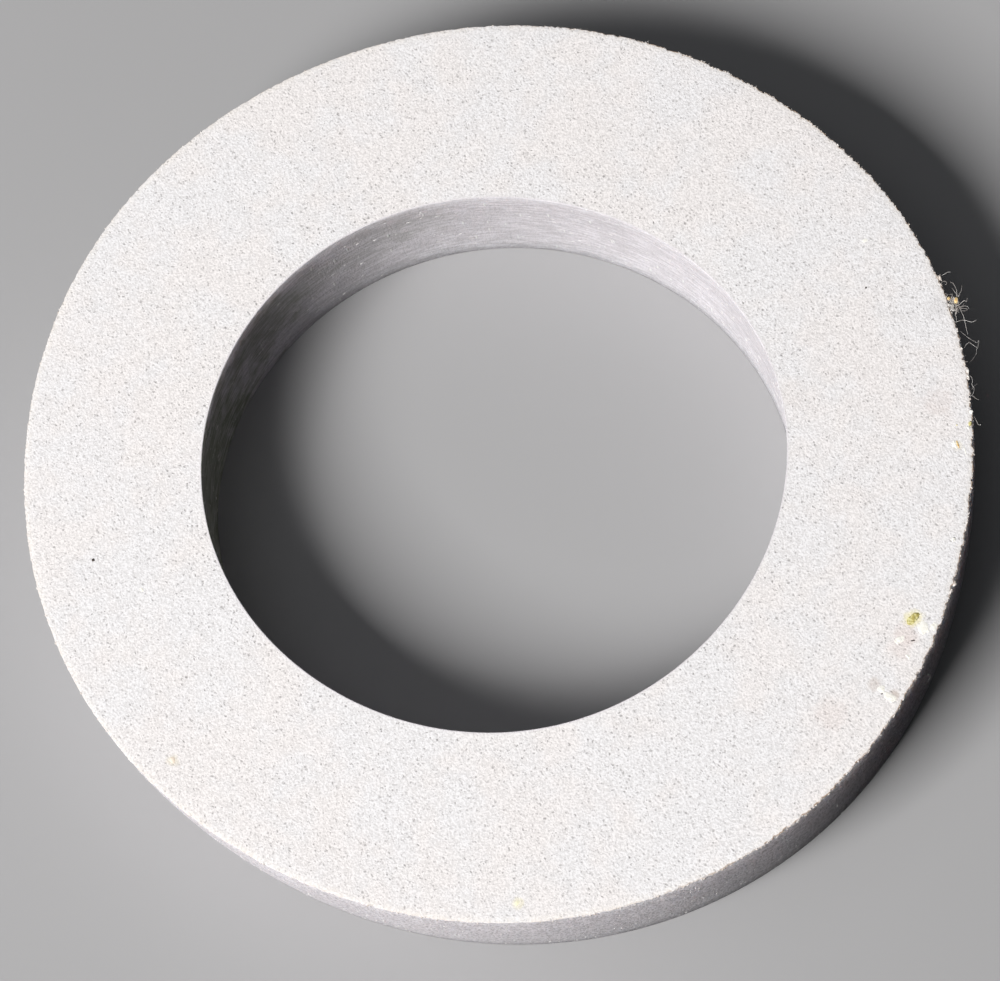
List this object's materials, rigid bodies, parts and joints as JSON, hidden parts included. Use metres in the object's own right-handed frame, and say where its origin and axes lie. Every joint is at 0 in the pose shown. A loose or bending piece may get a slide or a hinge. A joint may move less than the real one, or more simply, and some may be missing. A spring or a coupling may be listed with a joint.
{
  "type": "felt polishing wheel",
  "caption": "Thick flat ring of dense white felt with a wide plain bore, for polishing stone and glass on a flat plate or between flanges.",
  "frame": {"origin": "on the bore's axis, in the plane of the back face that the wheel lies on", "axes": "+Z along the bore's axis, from the back face to the pitted working face; +X towards the lint on the rim, as near as the round shape sets it"},
  "size_m": [0.1009, 0.1, 0.0143],
  "materials": {
    "white_felt": "dense pressed felt, finely pitted, matt",
    "amber_grit": "olive-yellow mineral grain, slightly glossy",
    "dried_polish": "chalky cream crumbs",
    "dark_grit": "dull black specks",
    "lint": "loose grey-brown fibres"
  },
  "bodies": {
    "root": {"felt_ring": "white_felt", "amber_grains": "amber_grit", "pale_crumbs": "dried_polish", "dark_specks": "dark_grit", "rim_lint": "lint"}
  },
  "joints": []
}
